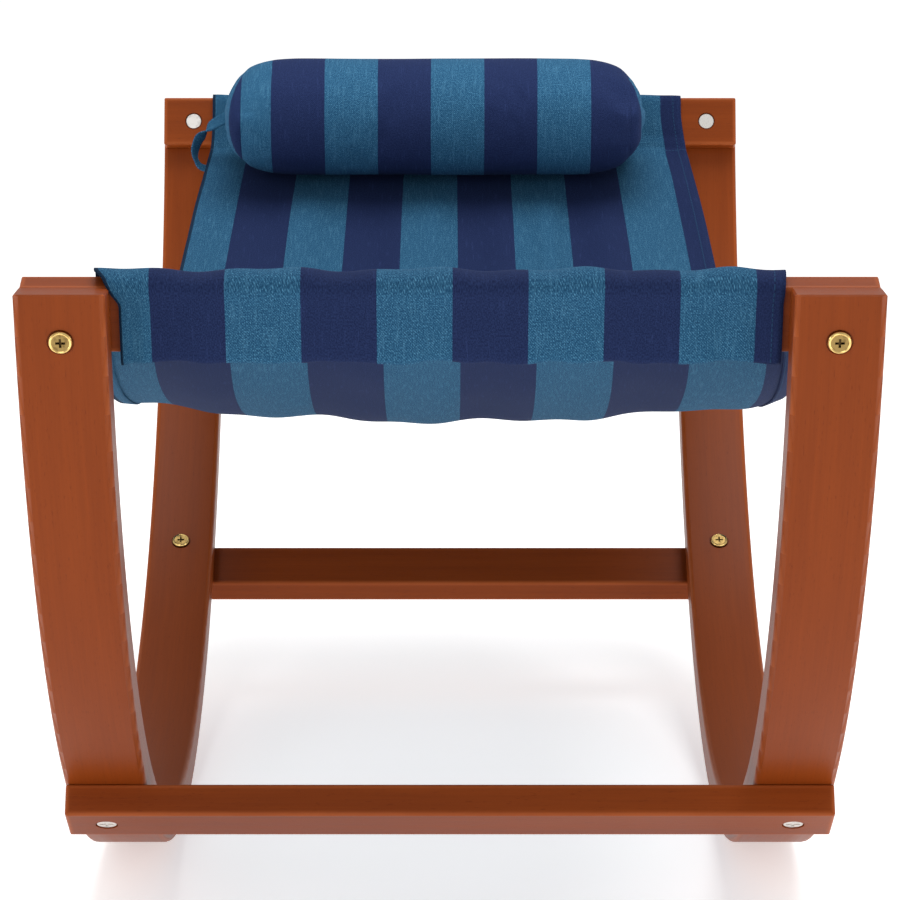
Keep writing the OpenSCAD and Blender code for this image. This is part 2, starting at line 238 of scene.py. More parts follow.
def new_group(name, inputs, outputs):
    """Node group with named sockets. Returns it, its bench, its inputs and its output node."""
    group = bpy.data.node_groups.new(name, "ShaderNodeTree")
    for label, kind, value in inputs:
        socket = group.interface.new_socket(label, in_out="INPUT", socket_type="NodeSocket" + kind)
        if value is not None:
            socket.default_value = value
    for label, kind in outputs:
        group.interface.new_socket(label, in_out="OUTPUT", socket_type="NodeSocket" + kind)
    bench = Bench(group)
    return group, bench, bench.put("NodeGroupInput").outputs, bench.put("NodeGroupOutput")


def new_material(name):
    material = bpy.data.materials.new(name)
    material.use_nodes = True
    material.node_tree.nodes.clear()
    bench = Bench(material.node_tree)
    shader = bench.put("ShaderNodeBsdfPrincipled")
    bench.put("ShaderNodeOutputMaterial", {"Surface": shader.outputs[0]})
    return material, bench, shader


def raise_surface(bench, shader, height, distance, strength=1.0):
    made = bench.put("ShaderNodeBump", {"Height": height, "Distance": distance, "Strength": strength})
    bench.feed(shader.inputs["Normal"], made.outputs[0])


def rgb(red, green, blue):
    """Colour as seen on a screen, 0 to 255, made linear."""
    def linear(c):
        c /= 255
        return c / 12.92 if c <= 0.04045 else ((c + 0.055) / 1.055) ** 2.4
    return linear(red), linear(green), linear(blue), 1.0


# ------------------------------------------------------------------ shared effects

# Place of a point on the bent arcs: across, out from the middle of the thickness, along the bend
bend_place, b, given, out = new_group(
    "bend_place", [("Vector", "Vector", None), ("Rock Radius", "Float", 0.8),
                   ("Middle Radius", "Float", 0.8), ("Across", "Float", 0.3)], [("Vector", "Vector")])
x, y, z = b.split(given["Vector"])
drop = b.math("SUBTRACT", given["Rock Radius"], z)
reach = b.math("SQRT", b.math("ADD", b.math("MULTIPLY", y, y), b.math("MULTIPLY", drop, drop)))
b.feed(out.inputs[0], b.join(
    b.math("SUBTRACT", b.math("ABSOLUTE", x), given["Across"]),
    b.math("SUBTRACT", reach, given["Middle Radius"]),
    b.math("MULTIPLY", b.math("ARCTAN2", y, drop), given["Middle Radius"])))

# Place of a point on a straight bar: along it, across its width, through its thickness
bar_place, b, given, out = new_group(
    "bar_place", [("Vector", "Vector", None), ("Rock Radius", "Float", 0.8), ("Middle Radius", "Float", 0.8),
                  ("Cosine", "Float", 0.3), ("Sine", "Float", 0.9)], [("Vector", "Vector")])
x, y, z = b.split(given["Vector"])
far = b.math("ABSOLUTE", y)
rise = b.math("SUBTRACT", z, given["Rock Radius"])
b.feed(out.inputs[0], b.join(
    x, b.math("ADD", b.math("MULTIPLY", far, given["Cosine"]), b.math("MULTIPLY", rise, given["Sine"])),
    b.math("SUBTRACT", b.math("SUBTRACT", b.math("MULTIPLY", far, given["Sine"]),
                              b.math("MULTIPLY", rise, given["Cosine"])), given["Middle Radius"])))

# Where a box-shaped piece has an edge, fading in over the edge width
edge_nearness, b, given, out = new_group(
    "edge_nearness", [("Place", "Vector", None), ("Half Size", "Vector", None), ("Edge Width", "Float", 0.005)],
    [("Mask", "Float")])
inside = b.vector("SUBTRACT", given["Half Size"], b.vector("ABSOLUTE", given["Place"]))
near = [b.math("SUBTRACT", 1.0, b.math("DIVIDE", part, given["Edge Width"]), clamp=True)
        for part in b.split(inside)]
pairs = [b.math("MULTIPLY", near[0], near[1]), b.math("MULTIPLY", near[1], near[2]),
         b.math("MULTIPLY", near[0], near[2])]
b.feed(out.inputs[0], b.math("MAXIMUM", b.math("MAXIMUM", pairs[0], pairs[1]), pairs[2]))

# Stained beech: long soft streaks, short dark flecks and pores. Grain runs along the first axis.
beech_grain, b, given, out = new_group(
    "beech_grain", [("Place", "Vector", None), ("Seed", "Float", 0.0), ("Dark", "Color", (0, 0, 0, 1)),
                    ("Light", "Color", (1, 1, 1, 1)), ("Contrast", "Float", 1.0)],
    [("Color", "Color"), ("Roughness", "Float"), ("Height", "Float")])
x, y, z = b.split(given["Place"])
x = b.math("ADD", x, given["Seed"])
wander = b.noise(b.stretch((x, y, z), (2.2, 9.0, 9.0)), 1.0, 2.0)
streak = b.noise(b.stretch((x, y, z), (1.6, 90.0, 90.0)), 1.0, 4.0, 0.6)
fine = b.noise(b.stretch((x, y, z), (14.0, 520.0, 520.0)), 1.0, 2.0, 0.6)
fleck = b.step(b.noise(b.stretch((x, y, z), (130.0, 900.0, 900.0)), 1.0, 1.0, 0.5), 0.64, 0.76)
tone = b.math("ADD", b.math("MULTIPLY", wander, 0.45), b.math("MULTIPLY", streak, 0.4))
tone = b.math("ADD", tone, b.math("MULTIPLY", fine, 0.25))
tone = b.math("MULTIPLY_ADD", b.math("SUBTRACT", tone, 0.55), given["Contrast"], 0.5, clamp=True)
tone = b.math("SUBTRACT", tone, b.math("MULTIPLY", fleck, 0.22), clamp=True)
b.feed(out.inputs["Color"], b.blend(tone, given["Dark"], given["Light"]))
b.feed(out.inputs["Roughness"], b.math("MULTIPLY_ADD", streak, 0.14, 0.33))
b.feed(out.inputs["Height"], b.math("SUBTRACT", b.math("MULTIPLY", fine, 0.5), fleck))

# Cloth weave. Place is the cloth's own, in metres. Ribs are the twill's diagonals, speckle is uneven
# yarn, and slub is the thick places along a thread.
canvas_weave, b, given, out = new_group(
    "canvas_weave", [("Place", "Vector", None), ("Rib Pitch", "Float", 0.0012)],
    [("Ribs", "Float"), ("Speckle", "Float"), ("Slub", "Float"), ("Height", "Float")])
x, y, z = b.split(given["Place"])
turns = b.math("DIVIDE", 2 * math.pi, given["Rib Pitch"])
waver = b.math("MULTIPLY", b.noise(given["Place"], 90.0, 2.0), 1.2)
ribs = b.math("SINE", b.math("ADD", b.math("MULTIPLY", b.math("ADD", x, y), turns), waver))
ribs = b.math("MULTIPLY_ADD", ribs, 0.5, 0.5)
speckle = b.noise(b.join(b.math("MULTIPLY", x, 950.0), b.math("MULTIPLY", y, 620.0), 0.0), 1.0, 2.0, 0.7)
slub = b.noise(b.join(b.math("MULTIPLY", x, 420.0), b.math("MULTIPLY", y, 36.0), 0.0), 1.0, 2.0, 0.6)
b.feed(out.inputs["Ribs"], ribs)
b.feed(out.inputs["Speckle"], speckle)
b.feed(out.inputs["Slub"], slub)
b.feed(out.inputs["Height"], b.math("ADD", b.math("MULTIPLY", ribs, 0.6), b.math("MULTIPLY", speckle, 0.8)))

# Woven stripes of one width. 1 is on the stripes before the first border, the third and so on.
woven_stripes, b, given, out = new_group(
    "woven_stripes", [("Place", "Vector", None), ("First Border", "Float", 0.05), ("Width", "Float", 0.065)],
    [("Mask", "Float")])
x, y, z = b.split(given["Place"])
threads = b.noise(b.join(0.0, b.math("MULTIPLY", y, 700.0), 0.0), 1.0, 1.0)
ragged = b.math("MULTIPLY", b.math("SUBTRACT", threads, 0.5), 0.0012)
turn = b.math("DIVIDE", b.math("SUBTRACT", b.math("ADD", x, ragged), given["First Border"]), given["Width"])
b.feed(out.inputs[0], b.math("COMPARE", b.math("MODULO", b.math("ADD", b.math("FLOOR", turn), 101.0), 2.0),
                             0.0, 0.25))

# A row of stitches along a line: Off Line is the distance from it, and Along runs along it
stitch_row, b, given, out = new_group(
    "stitch_row", [("Off Line", "Float", 0.0), ("Along", "Float", 0.0)], [("Mask", "Float")])
dash = b.math("ABSOLUTE", b.math("SUBTRACT", b.math("FRACT", b.math("DIVIDE", given["Along"], 0.0042)), 0.5))
across = b.step(b.math("ABSOLUTE", given["Off Line"]), 0.0004, 0.0008, 1.0, 0.0)
b.feed(out.inputs[0], b.math("MULTIPLY", across, b.step(dash, 0.30, 0.38, 1.0, 0.0)))

# Handled metal: fine scratches and dull patches
worn_metal, b, given, out = new_group(
    "worn_metal", [("Vector", "Vector", None), ("Bright", "Color", (1, 1, 1, 1)),
                   ("Dull", "Color", (0, 0, 0, 1)), ("Smoothest", "Float", 0.2)],
    [("Color", "Color"), ("Roughness", "Float"), ("Height", "Float")])
patch = b.step(b.noise(given["Vector"], 260.0, 3.0), 0.45, 0.7)
scratch = b.noise(b.vector("MULTIPLY", given["Vector"], (900.0, 900.0, 7000.0)), 1.0, 1.0)
b.feed(out.inputs["Color"], b.blend(b.math("MULTIPLY", patch, 0.6), given["Bright"], given["Dull"]))
b.feed(out.inputs["Roughness"], b.math("ADD", given["Smoothest"], b.math("MULTIPLY", patch, 0.16)))
b.feed(out.inputs["Height"], scratch)


# ------------------------------------------------------------------ materials

WOOD_DARK, WOOD_LIGHT = rgb(102, 40, 10), rgb(152, 70, 21)
# lighter colour along the timber's edges: partly rubbed wear, partly a painted highlight of the light on the
# rounded, lacquered edges
WOOD_RUBBED_AND_LIT = rgb(184, 98, 52)
LIGHT_BLUE, LIGHT_BLUE_DARK, LIGHT_BLUE_PALE = rgb(50, 98, 130), rgb(26, 64, 94), rgb(92, 146, 176)
NAVY, NAVY_DARK, NAVY_PALE = rgb(36, 49, 86), rgb(23, 32, 64), rgb(58, 74, 122)
# colour of the painted shade along the sling's folded edge
NAVY_EDGE_SHADE = rgb(14, 20, 40)
# colour of the painted shade in the fasteners' recesses and where they meet the wood
RECESS_SHADE = (0.035, 0.02, 0.008, 1)
EDGE_BAND_WIDTH = 5.2 * MM
PLY_PITCH = 3.8 * MM
TWILL_PITCH = 2.4 * MM
EDGE_SHADE_BAND = 3.4 * MM, 4.0 * MM                  # where the painted shade along the sling's left, folded edge ends
SIDE_STITCH = 10 * MM                          # from the sling's edge
STRAP_STITCH = 1.8 * MM                        # from the strap's edge


def object_place(bench):
    return bench.put("ShaderNodeTexCoord").outputs["Object"]


def finish_timber(bench, shader, place, half, seed, contrast, grain_place):
    grain = bench.use(beech_grain, {"Place": grain_place, "Seed": seed, "Dark": WOOD_DARK,
                                    "Light": WOOD_LIGHT, "Contrast": contrast})
    # Lighter along the edges, in patches: rubbed wear and a painted highlight where the rounded edges catch
    # the light
    edge_mask = bench.use(edge_nearness, {"Place": place, "Half Size": half, "Edge Width": EDGE_BAND_WIDTH})["Mask"]
    patchy = bench.step(bench.noise(grain_place, 9.0, 3.0), 0.3, 0.7)
    rubbed_and_lit = bench.math("MULTIPLY", bench.step(edge_mask, 0.0, 0.8), bench.math("MULTIPLY_ADD", patchy, 0.18, 0.32))
    bench.feed(shader.inputs["Base Color"], bench.blend(rubbed_and_lit, grain["Color"], WOOD_RUBBED_AND_LIT))
    bench.feed(shader.inputs["Roughness"], bench.math("ADD", grain["Roughness"],
                                                      bench.math("MULTIPLY", rubbed_and_lit, 0.12)))
    shader.inputs["Coat Weight"].default_value = 0.03
    shader.inputs["Coat Roughness"].default_value = 0.25
    shader.inputs["Specular IOR Level"].default_value = 0.1
    return grain


def arc_timber():
    material, bench, shader = new_material("lacquered_arc_timber")
    place = bench.use(bend_place, {"Vector": object_place(bench), "Rock Radius": ROCK_R,
                                   "Middle Radius": ARC_MID_R, "Across": BOLT_X})["Vector"]
    x, y, z = bench.split(place)
    plies = bench.math("SINE", bench.math("MULTIPLY", y, 2 * math.pi / PLY_PITCH))
    plies = bench.step(plies, 0.93, 1.0)
    no_end = 9.0                               # so long that the lighter edge band leaves the arcs' ends alone
    grain = finish_timber(bench, shader, place, (ARC_W / 2, ARC_T / 2, no_end), 3.0, 1.0,
                          bench.join(z, x, y))
    soft = shader.inputs["Base Color"].links[0].from_socket
    bench.feed(shader.inputs["Base Color"],
               bench.blend(bench.math("MULTIPLY", plies, 0.16), soft, WOOD_DARK, "MULTIPLY"))
    height = bench.math("SUBTRACT", bench.math("MULTIPLY", grain["Height"], 0.4), plies)
    raise_surface(bench, shader, height, 0.00012, 0.6)
    return material


def bar_timber(name, angle, middle_r, thick, seed):
    material, bench, shader = new_material(name)
    place = bench.use(bar_place, {"Vector": object_place(bench), "Rock Radius": ROCK_R,
                                  "Middle Radius": middle_r, "Cosine": math.cos(angle),
                                  "Sine": math.sin(angle)})["Vector"]
    half_long = (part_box("rear_rail")[1][0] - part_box("rear_rail")[0][0]) / 2
    grain = finish_timber(bench, shader, place, (half_long, RAIL_W / 2, thick / 2), seed, 1.15, place)
    raise_surface(bench, shader, grain["Height"], 0.0001, 0.6)
    return material


def dowel_timber():
    material, bench, shader = new_material("bare_dowel_timber")
    grain = bench.use(beech_grain, {"Place": object_place(bench), "Seed": 0.4, "Dark": rgb(172, 128, 86),
                                    "Light": rgb(214, 176, 128), "Contrast": 1.2})
    bench.feed(shader.inputs["Base Color"], grain["Color"])
    shader.inputs["Roughness"].default_value = 0.7
    raise_surface(bench, shader, grain["Height"], 0.0001)
    return material


def fastener_metal(name, bright, dull, smoothest, hollow=None):
    """hollow is (from, to): the height off the arc's middle below which the metal is darkened with painted
    shade, as in a recess or where it meets the wood.
    """
    material, bench, shader = new_material(name)
    place = object_place(bench)
    metal = bench.use(worn_metal, {"Vector": place, "Bright": bright, "Dull": dull, "Smoothest": smoothest})
    colour = metal["Color"]
    if hollow:
        bent = bench.use(bend_place, {"Vector": place, "Rock Radius": ROCK_R, "Middle Radius": ARC_MID_R,
                                      "Across": BOLT_X})["Vector"]
        stand_off = bench.math("ABSOLUTE", bench.split(bent)[1])
        # Painted shade: darker low down, in the bolt heads' cross recesses and at the foot of the cups next
        # to the wood
        recess_shade = bench.step(stand_off, hollow[0], hollow[1], 0.88, 0.0)
        colour = bench.blend(recess_shade, colour, RECESS_SHADE)
    bench.feed(shader.inputs["Base Color"], colour)
    bench.feed(shader.inputs["Roughness"], metal["Roughness"])
    shader.inputs["Metallic"].default_value = 1.0
    raise_surface(bench, shader, metal["Height"], 0.00002, 0.5)
    return material


def cloth_place(bench):
    return bench.put("ShaderNodeUVMap", uv_map="cloth").outputs[0]


def finish_cloth(bench, shader, place, light, stitches=None, pale=1.0, edge_shade=None):
    """Striped canvas. light says where the light blue twill is, and the rest is the closer navy cloth."""
    weave = bench.use(canvas_weave, {"Place": place, "Rib Pitch": TWILL_PITCH})

    def tint(base, mask, amount, colour):
        return bench.blend(bench.math("MULTIPLY", mask, amount), base, colour)

    blue = bench.blend(bench.step(weave["Speckle"], 0.36, 0.62), LIGHT_BLUE_DARK, LIGHT_BLUE)
    blue = tint(blue, bench.step(weave["Ribs"], 0.62, 0.1), 0.5, LIGHT_BLUE_DARK)
    glint = bench.math("MULTIPLY", bench.step(weave["Speckle"], 0.5, 0.68), weave["Ribs"])
    blue = tint(blue, glint, 0.7, LIGHT_BLUE_PALE)
    blue = tint(blue, bench.step(weave["Slub"], 0.5, 0.72), 0.18, LIGHT_BLUE_PALE)
    deep = bench.blend(bench.step(weave["Speckle"], 0.35, 0.65), NAVY_DARK, NAVY)
    deep = tint(deep, bench.step(weave["Slub"], 0.55, 0.78), 0.22, NAVY_PALE)
    colour = bench.blend(light, deep, blue)
    # painted shade along an edge of the cloth
    if edge_shade is not None:
        colour = tint(colour, edge_shade, 0.8, NAVY_EDGE_SHADE)
    if pale != 1.0:
        colour = bench.blend(1.0, colour, (pale, pale, pale, 1), "MULTIPLY")
    height = bench.math("MULTIPLY", weave["Height"], bench.math("MULTIPLY_ADD", light, 0.6, 0.4))
    if stitches is not None:
        colour = tint(colour, stitches, 0.28, LIGHT_BLUE)
        height = bench.math("ADD", height, bench.math("MULTIPLY", stitches, 1.5))
    bench.feed(shader.inputs["Base Color"], colour)
    bench.feed(shader.inputs["Roughness"], bench.math("MULTIPLY_ADD", weave["Speckle"], 0.16, 0.74))
    shader.inputs["Sheen Weight"].default_value = 0.02
    shader.inputs["Sheen Roughness"].default_value = 0.4
    shader.inputs["Sheen Tint"].default_value = (0.35, 0.6, 1.0, 1.0)
    shader.inputs["Specular IOR Level"].default_value = 0.05
    raise_surface(bench, shader, height, 0.00035, 0.7)


FLAT_W = 593.5 * MM
FIRST_BORDER, STRIPE_W = 47.5 * MM, 65 * MM


def sew_rows(bench, lines):
    """Mask of stitch rows. Each line is (across, middle, along), where across and along are sockets."""
    rows = []
    for across, middle, along in lines:
        off = bench.math("SUBTRACT", across, middle)
        rows.append(bench.use(stitch_row, {"Off Line": off, "Along": along})["Mask"])
    stitches = rows[0]
    for row in rows[1:]:
        stitches = bench.math("MAXIMUM", stitches, row)
    return stitches


def sling_cloth(name, seam_front, seam_rear):
    material, bench, shader = new_material(name)
    place = cloth_place(bench)
    x, y, z = bench.split(place)
    light = bench.use(woven_stripes, {"Place": place, "First Border": FIRST_BORDER,
                                      "Width": STRIPE_W})["Mask"]
    stitches = sew_rows(bench, ((x, SIDE_STITCH, y), (x, FLAT_W - SIDE_STITCH, y),
                                (y, seam_front, x), (y, seam_rear, x)))
    # Painted shade along the sling's left edge, where its thick folded edge is in shade
    edge_shade_mask = bench.step(x, *EDGE_SHADE_BAND, 1.0, 0.0)
    finish_cloth(bench, shader, place, light, stitches, edge_shade=edge_shade_mask)
    return material


def pillow_cloth(name, ends):
    """The bolster's cloth. On an end piece, rim is above 0 inside the light blue rim."""
    material, bench, shader = new_material(name)
    place = cloth_place(bench)
    if ends:
        rim = bench.put("ShaderNodeAttribute", attribute_name="rim").outputs["Fac"]
        light = bench.step(rim, -0.0005, 0.0005)
    else:
        light = bench.use(woven_stripes, {"Place": place, "First Border": PILLOW_BORDER,
                                          "Width": PILLOW_STRIPE})["Mask"]
    finish_cloth(bench, shader, place, light, pale=1.22)
    return material


def plain_cloth(name, width):
    material, bench, shader = new_material(name)
    place = cloth_place(bench)
    x, y, z = bench.split(place)
    finish_cloth(bench, shader, place, 1.0,
                 sew_rows(bench, ((x, STRAP_STITCH, y), (x, width - STRAP_STITCH, y))))
    return material


def fibre_fill():
    material, bench, shader = new_material("loose_fibre_filling")
    place = object_place(bench)
    tuft = bench.noise(place, 120.0, 5.0, 0.7)
    bench.feed(shader.inputs["Base Color"], bench.blend(tuft, rgb(205, 204, 198), rgb(243, 242, 238)))
    shader.inputs["Roughness"].default_value = 0.95
    shader.inputs["Sheen Weight"].default_value = 0.3
    raise_surface(bench, shader, tuft, 0.001)
    return material


# ------------------------------------------------------------------ wooden frame and fasteners

def paint(material, *nodes):
    for node in nodes:
        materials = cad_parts[node].data.materials
        materials.clear()
        materials.append(material)


paint(arc_timber(), "left_arc", "right_arc")
paint(bar_timber("lacquered_rail_timber", RAIL_ANGLE, RAIL_R, RAIL_T, 1.7), "front_rail", "rear_rail")
paint(bar_timber("lacquered_stretcher_timber", STRETCHER_ANGLE, STRETCHER_R, STRETCHER_T, 5.1),
      "front_stretcher", "rear_stretcher")
paint(dowel_timber(), "locating_dowels")
# Both brass finishes carry painted shade: the cups next to the wood, the bolt heads in their recesses
paint(fastener_metal("worn_brass_painted_shade", (0.90, 0.64, 0.24, 1), (0.60, 0.38, 0.12, 1), 0.14,
                     (ARC_T / 2 + 0.6 * MM, ARC_T / 2 + 2.6 * MM)), "cup_washers")
paint(fastener_metal("brass_bolt_heads", (0.30, 0.20, 0.07, 1), (0.14, 0.085, 0.03, 1), 0.34,
                     (ARC_T / 2 + 1.7 * MM, ARC_T / 2 + 2.3 * MM)),
      "front_rail_bolts", "rear_rail_bolts", "front_stretcher_bolts", "rear_stretcher_bolts")
paint(fastener_metal("dull_zinc", (0.78, 0.75, 0.71, 1), (0.56, 0.53, 0.49, 1), 0.34),
      "rail_sleeve_nuts", "stretcher_sleeve_nuts")


# ------------------------------------------------------------------ sling

sling_low, sling_high = (Vector(corner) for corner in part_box("sling_panel"))
CLOTH_T = 1.5 * MM
HEM_W, HEM_T, HEM_DROP = 12 * MM, 1.3 * MM, 1.55 * MM   # the folded hem, and how far it lies below the cloth
SEAM_IN = 12 * MM                              # from a pocket's end to the seam that closes it
SLING_END_Y, SLING_END_Z = from_bar(1, -RAIL_W / 2 - 2 * MM, RAIL_IN)
EDGE_SAG, CROSS_SAG = 149 * MM, 22.5 * MM
COLS = 108


def sling_half(u):
    """Half the sling's width. u runs from -1 at the front rail to 1 at the rear one."""
    return (272 + 17 * (1 - u ** 4)) * MM


def sling_height(u, v):
    """Height of the sling before any folds. v runs from -1 to 1 across it."""
    return SLING_END_Z - (EDGE_SAG + CROSS_SAG * (1 - v * v)) * (1 - u * u)


# The cloth round a rail, as (up, out from the rail's inner face): from the seam under the rail,
# up the outer face, over the top, and down the inner face
POCKET = [(-32.6, -2.2), (-34.5, 4), (-35.2, 13), (-34.2, 20.5), (-30.5, 23.6), (-24, 23.9), (-12, 23.9),
          (2, 23.9), (15, 23.9), (24, 23.7), (28.3, 21.6), (29.4, 17), (29.5, 11), (29.4, 5), (28.2, 0.2),
          (24, -1.9), (14, -2.1), (2, -2.3), (-10, -2.6), (-21, -3.0)]


def pocket_side(end, points):
    return [from_bar(end, up * MM, RAIL_IN + out * MM) for up, out in points]


def smooth_line(points):
    """Points close together on a smooth curve through (y, z) points, and how far along each one is."""
    per_span = 8
    dense = []
    padded = [points[0]] + points + [points[-1]]
    for i in range(1, len(padded) - 2):
        around = [Vector(p) for p in padded[i - 1:i + 3]]
        dense += [on_curve(*around, k / per_span) for k in range(per_span)]
    dense.append(Vector(points[-1]))
    lengths = [0.0]
    for p, q in zip(dense, dense[1:]):
        lengths.append(lengths[-1] + (q - p).length)
    return dense, lengths


def pick(dense, lengths, s):
    """Point at s along a line."""
    low, high = 0, len(lengths) - 1
    while high - low > 1:
        middle = (low + high) // 2
        if lengths[middle] <= s:
            low = middle
        else:
            high = middle
    t = (s - lengths[low]) / max(1e-9, lengths[high] - lengths[low])
    return dense[low].lerp(dense[high], t)


def sling_track(v):
    """The cloth's line from its front seam to its rear one at v across, before any folds."""
    panel = [(u * SLING_END_Y, sling_height(u, v)) for u in
             [-0.985, -0.955] + [-0.92 + 1.84 * i / 46 for i in range(47)] + [0.955, 0.985]]
    return smooth_line(pocket_side(-1, POCKET) + panel + pocket_side(1, POCKET)[::-1])


tracks = {}


def track_for(v):
    key = round(v, 5)
    if key not in tracks:
        tracks[key] = sling_track(v)
    return tracks[key]


POCKET_LEN = smooth_line(pocket_side(-1, POCKET))[1][-1]
CLOTH_LEN = track_for(0.0)[1][-1]
# Rows lie closer together round the rails than along the seat.
CLOSE_ROWS, WIDE_ROWS, CLOSE_UNTIL = 3.0 * MM, 8.5 * MM, POCKET_LEN + 30 * MM
row_at, s = [], 0.0
while s < CLOTH_LEN / 2:
    row_at.append(s)
    s += min(WIDE_ROWS, CLOSE_ROWS + max(0.0, s - CLOSE_UNTIL) * 0.04)
row_at += [CLOTH_LEN - s for s in row_at[::-1]]
SEAM_FRONT = POCKET_LEN + SEAM_IN
SEAM_REAR = CLOTH_LEN - SEAM_FRONT


# The outer face of a pocket is drawn in between the arcs. For each end, in mm: where the first and the
# last thread lie on that face, and where the last one lies elsewhere.
POCKET_ACROSS = {-1: ((-253, 254.5), 257), 1: ((-254, 254), 265.5)}
FREE_FROM, FREE_TO = -228 * MM, 232 * MM       # threads between these stay where they are
FIRST_THREAD = -272.5 * MM                     # where the first thread lies elsewhere


def pocket_x(end, flat, outer):
    """Where a thread runs in a pocket. outer is 1 on the outer face, between the arcs."""
    if end < 0:
        x = (flat - 307.5 * MM) * 58 / 65 + 1.9 * MM
    else:
        x = mix(-273 * MM, 265.5 * MM, flat / FLAT_W)
    limits, last = POCKET_ACROSS[end]
    tucked = x
    if x < FREE_FROM:
        tucked = mix(limits[0] * MM, FREE_FROM, (x - FIRST_THREAD) / (FREE_FROM - FIRST_THREAD))
    elif x > FREE_TO:
        tucked = mix(FREE_TO, limits[1] * MM, (x - FREE_TO) / (last * MM - FREE_TO))
    return mix(x, tucked, outer)


def ripple(flat, *waves):
    """Sum of waves across the cloth, each given as (height in mm, length in mm, turn)."""
    return sum(size * MM * math.sin(2 * math.pi * flat / (length * MM) + turn)
               for size, length, turn in waves)


def front_folds(near, flat, v):
    """How far the cloth stands off its line near the front rail. near is the distance from the hem."""
    outer_face = bump(near, POCKET_LEN * 0.27, POCKET_LEN * 0.22)
    lift = outer_face * (1.7 * MM + ripple(flat, (0.8, 83, 1.0), (0.55, 47, 2.6), (0.3, 29, 0.4)))
    top = bump(near, POCKET_LEN * 0.61, 17 * MM)
    lift += top * (5.4 * MM + ripple(flat, (1.9, 131, 0.3), (1.3, 61, 2.0)))
    low_hem = bump(near, 14 * MM, 12 * MM)
    lift += low_hem * (1.4 * MM + ripple(flat, (1.6, 118, 0.8), (1.1, 53, 2.2)))
    belly = smooth(near, POCKET_LEN, POCKET_LEN + 60 * MM) * smooth(near, 1.0, 0.66)
    lift -= belly * ripple(flat, (2.6, 151, 3.4), (1.0, 71, 1.1))
    return lift + belly * (5.0 - 0.5 * v * v) * MM


def rear_folds(near, flat):
    """The same near the rear rail, with the long folds of the seat."""
    top = bump(near, POCKET_LEN * 0.61, 17 * MM)
    lift = top * (1.0 * MM + ripple(flat, (0.8, 109, 1.9), (0.5, 57, 0.2)))
    face = bump(near, POCKET_LEN * 0.80, POCKET_LEN * 0.12)
    lift += face * (0.8 * MM + ripple(flat, (0.7, 91, 0.9), (0.4, 37, 2.2)))
    gathers = smooth(near, POCKET_LEN + 60 * MM, POCKET_LEN + 210 * MM) * smooth(near, 0.95, 0.55)
    ridges = bump(flat, FLAT_W * 0.47, 17 * MM) + bump(flat, FLAT_W * 0.69, 15 * MM)
    lift += gathers * (ripple(flat, (3.2, 123, 1.2), (1.4, 58, 0.3)) + 6.5 * MM * ridges)
    puckers = bump(near, POCKET_LEN + 34 * MM, 30 * MM)
    return lift + puckers * ripple(flat + 0.35 * near, (1.3, 74, 1.2), (0.8, 33, 2.9))


def cloth_point(s, flat):
    """Place and 2D normal of the sling's middle layer at s along it and flat across it."""
    v = 2 * flat / FLAT_W - 1
    dense, lengths = track_for(v)
    total = lengths[-1]
    # Distance along this thread, matched to the middle thread's pockets at both ends
    if s <= POCKET_LEN:
        at = s
    elif s >= CLOTH_LEN - POCKET_LEN:
        at = total - (CLOTH_LEN - s)
    else:
        share = (s - POCKET_LEN) / (CLOTH_LEN - 2 * POCKET_LEN)
        at = POCKET_LEN + share * (total - 2 * POCKET_LEN)
    here = pick(dense, lengths, at)
    ahead = pick(dense, lengths, min(total, at + 0.6 * MM))
    behind = pick(dense, lengths, max(0, at - 0.6 * MM))
    run = (ahead - behind).normalized()
    normal = Vector((-run.y, run.x))
    front, rear = s, CLOTH_LEN - s
    end = -1 if front < rear else 1
    near = min(front, rear)
    u = max(-1, min(1, here.x / SLING_END_Y))
    x_panel = v * sling_half(u) - 2 * MM
    outer = smooth(near, POCKET_LEN * 0.64, POCKET_LEN * 0.45)
    x_pocket = pocket_x(end, flat, outer)
    x = mix(x_pocket, x_panel, smooth(near, POCKET_LEN * 0.80, POCKET_LEN + 14 * MM))
    # Folds, then the pull of the seams, the unevenness of the seat and the thicker edges
    lift = front_folds(near, flat, v) if end < 0 else rear_folds(near, flat)
    lift -= 1.3 * MM * bump(near, SEAM_FRONT, 2.6 * MM)
    seat = smooth(near, POCKET_LEN + 20 * MM, POCKET_LEN + 160 * MM)
    lift += seat * (noise.noise(Vector((flat * 9, s * 5, 1.7))) * 3.0 * MM
                    + noise.noise(Vector((flat * 26, s * 9, 4.1))) * 0.9 * MM)
    lift += seat * bump(min(flat, FLAT_W - flat), 0, 9 * MM) * 0.8 * MM
    y, z = here + normal * lift
    return Vector((x, y, z)), normal


def sling_strip(name, flats, rows, below=0.0, thick=CLOTH_T):
    points, places = [], []
    for s in rows:
        for flat in flats:
            point, normal = cloth_point(s, flat)
            point -= Vector((0, normal.x, normal.y)) * below
            points.append(point)
            places.append((flat, s))
    piece = make_piece(name, points, grid_faces(len(rows), len(flats)), places)
    apply_modifier(piece, "SOLIDIFY", thickness=thick, offset=0.0, use_even_offset=True)
    return piece


